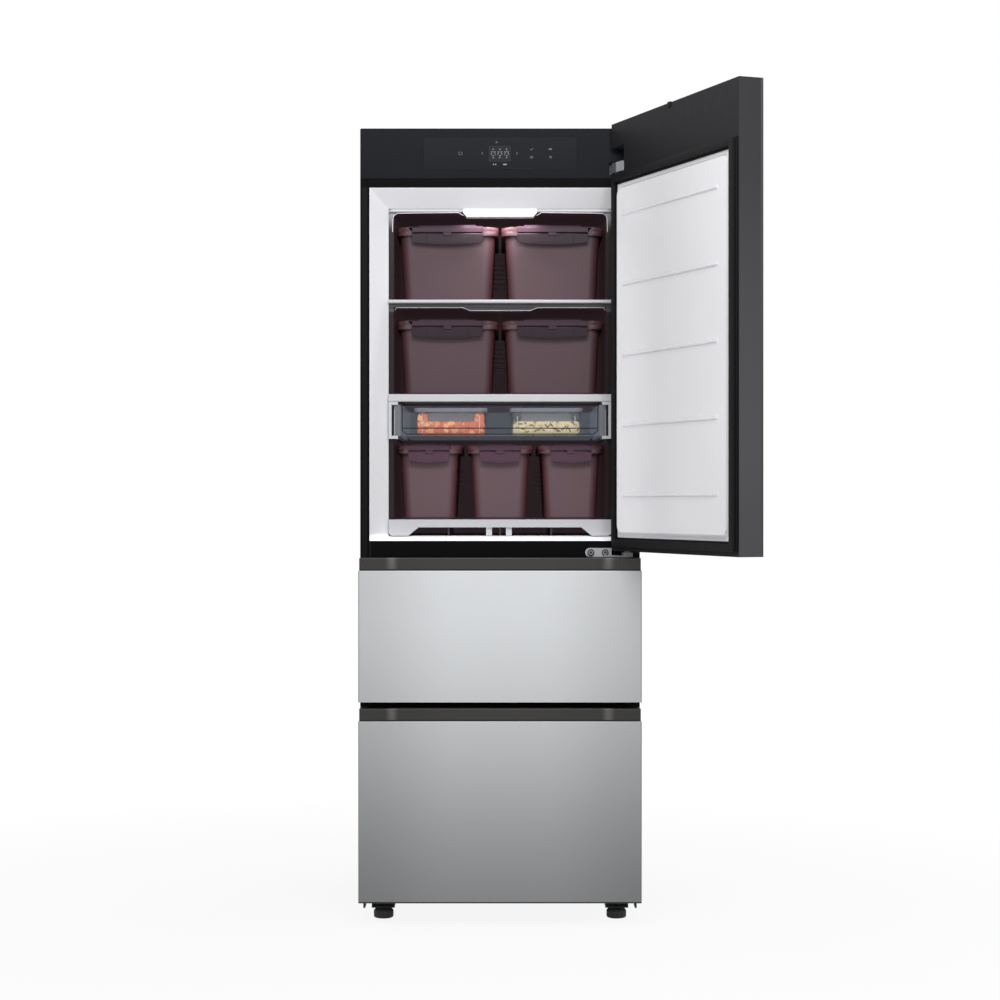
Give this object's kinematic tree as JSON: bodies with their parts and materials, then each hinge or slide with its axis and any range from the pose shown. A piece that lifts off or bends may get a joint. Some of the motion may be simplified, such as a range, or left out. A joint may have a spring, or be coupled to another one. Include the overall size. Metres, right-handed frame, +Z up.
{
  "type": "kimchi refrigerator",
  "caption": "Stand-type kimchi refrigerator with a hinged upper door over shelves of lidded boxes and a side dish tray, above pull-out drawers.",
  "frame": {"origin": "on the floor, at the middle of the left levelling foot's underside; the cabinet's middle is X = 0.276 and the closed fronts' outer plane is Y = -0.101", "axes": "+X to the right seen from the front, +Y to the back, +Z up; the floor is Z = 0"},
  "size_m": [0.8803, 1.2991, 1.8736],
  "materials": {
    "outer_steel": "dark grey painted sheet",
    "galvanised": "galvanised sheet",
    "base_steel": "dark coated sheet",
    "foam": "rigid insulation foam",
    "frame_black": "black coated sheet",
    "panel_charcoal": "glossy charcoal",
    "display_black": "dark glossy window",
    "liner_white": "white moulded liner",
    "lining_steel": "dark stainless lining",
    "lamp_white": "lit white diffuser",
    "shelf_white": "silver white plastic",
    "duct_dark": "dark grey plastic",
    "zinc": "zinc plated",
    "machine_black": "black enamel",
    "black_plastic": "black plastic",
    "front_steel": "silver steel",
    "door_dark": "dark grey",
    "gasket_black": "black gasket",
    "handle_brown": "dark brown metallic",
    "bin_white": "pale translucent plastic",
    "tray_smoke": "clear smoky plastic",
    "dish_clear": "clear plastic",
    "tub_plum": "translucent plum brown",
    "latch_plum": "dark plum"
  },
  "bodies": {
    "root": {"cabinet_shell": "outer_steel", "back_panel": "galvanised", "base_pan": "base_steel", "insulation": "foam", "front_frame": "frame_black", "control_panel": "panel_charcoal", "display_window": "display_black", "compartment_liners": "liner_white", "steel_lining": "lining_steel", "ceiling_lamp": "lamp_white", "shelves": "shelf_white", "floor_tray": "shelf_white", "rear_duct_cover": "duct_dark", "drawer_rails": "zinc", "compressor": "machine_black", "condenser": "machine_black", "compressor_cover": "black_plastic", "door_hinges": "zinc"},
    "condenser_fan": {"condenser_fan": "black_plastic"},
    "foot_left": {"foot_left": "black_plastic"},
    "foot_right": {"foot_right": "black_plastic"},
    "rear_rollers": {"rear_rollers": "black_plastic"},
    "upper_door": {"door_skin": "front_steel", "door_frame": "door_dark", "door_foam": "foam", "door_liner": "liner_white", "door_gasket": "gasket_black"},
    "middle_drawer": {"middle_front_panel": "front_steel", "middle_handle": "handle_brown", "middle_inner_panel": "liner_white", "middle_gasket": "gasket_black", "middle_bin": "bin_white"},
    "lower_drawer": {"lower_front_panel": "front_steel", "lower_handle": "handle_brown", "lower_inner_panel": "liner_white", "lower_gasket": "gasket_black", "lower_bin": "bin_white"},
    "side_dish_drawer": {"side_dish_tray": "tray_smoke", "side_dish_boxes": "dish_clear"},
    "kimchi_box_1": {"tub_1": "tub_plum", "lid_1": "tub_plum"},
    "latch_1": {"latch_1": "latch_plum"},
    "kimchi_box_2": {"tub_2": "tub_plum", "lid_2": "tub_plum"},
    "latch_2": {"latch_2": "latch_plum"},
    "kimchi_box_3": {"tub_3": "tub_plum", "lid_3": "tub_plum"},
    "latch_3": {"latch_3": "latch_plum"},
    "kimchi_box_4": {"tub_4": "tub_plum", "lid_4": "tub_plum"},
    "latch_4": {"latch_4": "latch_plum"},
    "kimchi_box_5": {"tub_5": "tub_plum", "lid_5": "tub_plum"},
    "latch_5": {"latch_5": "latch_plum"},
    "kimchi_box_6": {"tub_6": "tub_plum", "lid_6": "tub_plum"},
    "latch_6": {"latch_6": "latch_plum"},
    "kimchi_box_7": {"tub_7": "tub_plum", "lid_7": "tub_plum"},
    "latch_7": {"latch_7": "latch_plum"}
  },
  "joints": [
    {"name": "upper_door_hinge", "type": "hinge", "parent": "root", "child": "upper_door", "pos_m": [0.574, -0.071, 1.3713], "axis": [0, 0, 1], "range_deg": [-111, 4]},
    {"name": "middle_drawer_slide", "type": "slide", "parent": "root", "child": "middle_drawer", "axis": [0, -1, 0], "range_m": [0, 0.42]},
    {"name": "lower_drawer_slide", "type": "slide", "parent": "root", "child": "lower_drawer", "axis": [0, -1, 0], "range_m": [0, 0.36]},
    {"name": "side_dish_tray_slide", "type": "slide", "parent": "root", "child": "side_dish_drawer", "axis": [0, -1, 0], "range_m": [0, 0.32]},
    {"name": "condenser_fan_spin", "type": "hinge", "parent": "root", "child": "condenser_fan", "pos_m": [0.327, 0.547, 0.1555], "axis": [1, 0, 0], "continuous": true},
    {"name": "foot_left_turn", "type": "hinge", "parent": "root", "child": "foot_left", "pos_m": [0, 0, 0], "axis": [0, 0, 1], "continuous": true},
    {"name": "foot_right_turn", "type": "hinge", "parent": "root", "child": "foot_right", "pos_m": [0.552, 0, 0], "axis": [0, 0, 1], "continuous": true},
    {"name": "rear_rollers_spin", "type": "hinge", "parent": "root", "child": "rear_rollers", "pos_m": [0.276, 0.584, 0.018], "axis": [1, 0, 0], "continuous": true},
    {"name": "kimchi_box_1_slide", "type": "slide", "parent": "root", "child": "kimchi_box_1", "axis": [0, -1, 0], "range_m": [0, 0.4]},
    {"name": "latch_1_flip", "type": "hinge", "parent": "kimchi_box_1", "child": "latch_1", "pos_m": [0.1502, 0.044, 1.626], "axis": [-1, 0, 0], "range_deg": [0, 90]},
    {"name": "kimchi_box_2_slide", "type": "slide", "parent": "root", "child": "kimchi_box_2", "axis": [0, -1, 0], "range_m": [0, 0.4]},
    {"name": "latch_2_flip", "type": "hinge", "parent": "kimchi_box_2", "child": "latch_2", "pos_m": [0.4018, 0.044, 1.626], "axis": [-1, 0, 0], "range_deg": [0, 90]},
    {"name": "kimchi_box_3_slide", "type": "slide", "parent": "root", "child": "kimchi_box_3", "axis": [0, -1, 0], "range_m": [0, 0.4]},
    {"name": "latch_3_flip", "type": "hinge", "parent": "kimchi_box_3", "child": "latch_3", "pos_m": [0.1502, 0.044, 1.4018], "axis": [-1, 0, 0], "range_deg": [0, 90]},
    {"name": "kimchi_box_4_slide", "type": "slide", "parent": "root", "child": "kimchi_box_4", "axis": [0, -1, 0], "range_m": [0, 0.4]},
    {"name": "latch_4_flip", "type": "hinge", "parent": "kimchi_box_4", "child": "latch_4", "pos_m": [0.4018, 0.044, 1.4018], "axis": [-1, 0, 0], "range_deg": [0, 90]},
    {"name": "kimchi_box_5_slide", "type": "slide", "parent": "root", "child": "kimchi_box_5", "axis": [0, -1, 0], "range_m": [0, 0.4]},
    {"name": "latch_5_flip", "type": "hinge", "parent": "kimchi_box_5", "child": "latch_5", "pos_m": [0.10627, 0.044, 1.1041], "axis": [-1, 0, 0], "range_deg": [0, 90]},
    {"name": "kimchi_box_6_slide", "type": "slide", "parent": "root", "child": "kimchi_box_6", "axis": [0, -1, 0], "range_m": [0, 0.4]},
    {"name": "latch_6_flip", "type": "hinge", "parent": "kimchi_box_6", "child": "latch_6", "pos_m": [0.276, 0.044, 1.1041], "axis": [-1, 0, 0], "range_deg": [0, 90]},
    {"name": "kimchi_box_7_slide", "type": "slide", "parent": "root", "child": "kimchi_box_7", "axis": [0, -1, 0], "range_m": [0, 0.4]},
    {"name": "latch_7_flip", "type": "hinge", "parent": "kimchi_box_7", "child": "latch_7", "pos_m": [0.44573, 0.044, 1.1041], "axis": [-1, 0, 0], "range_deg": [0, 90]}
  ]
}
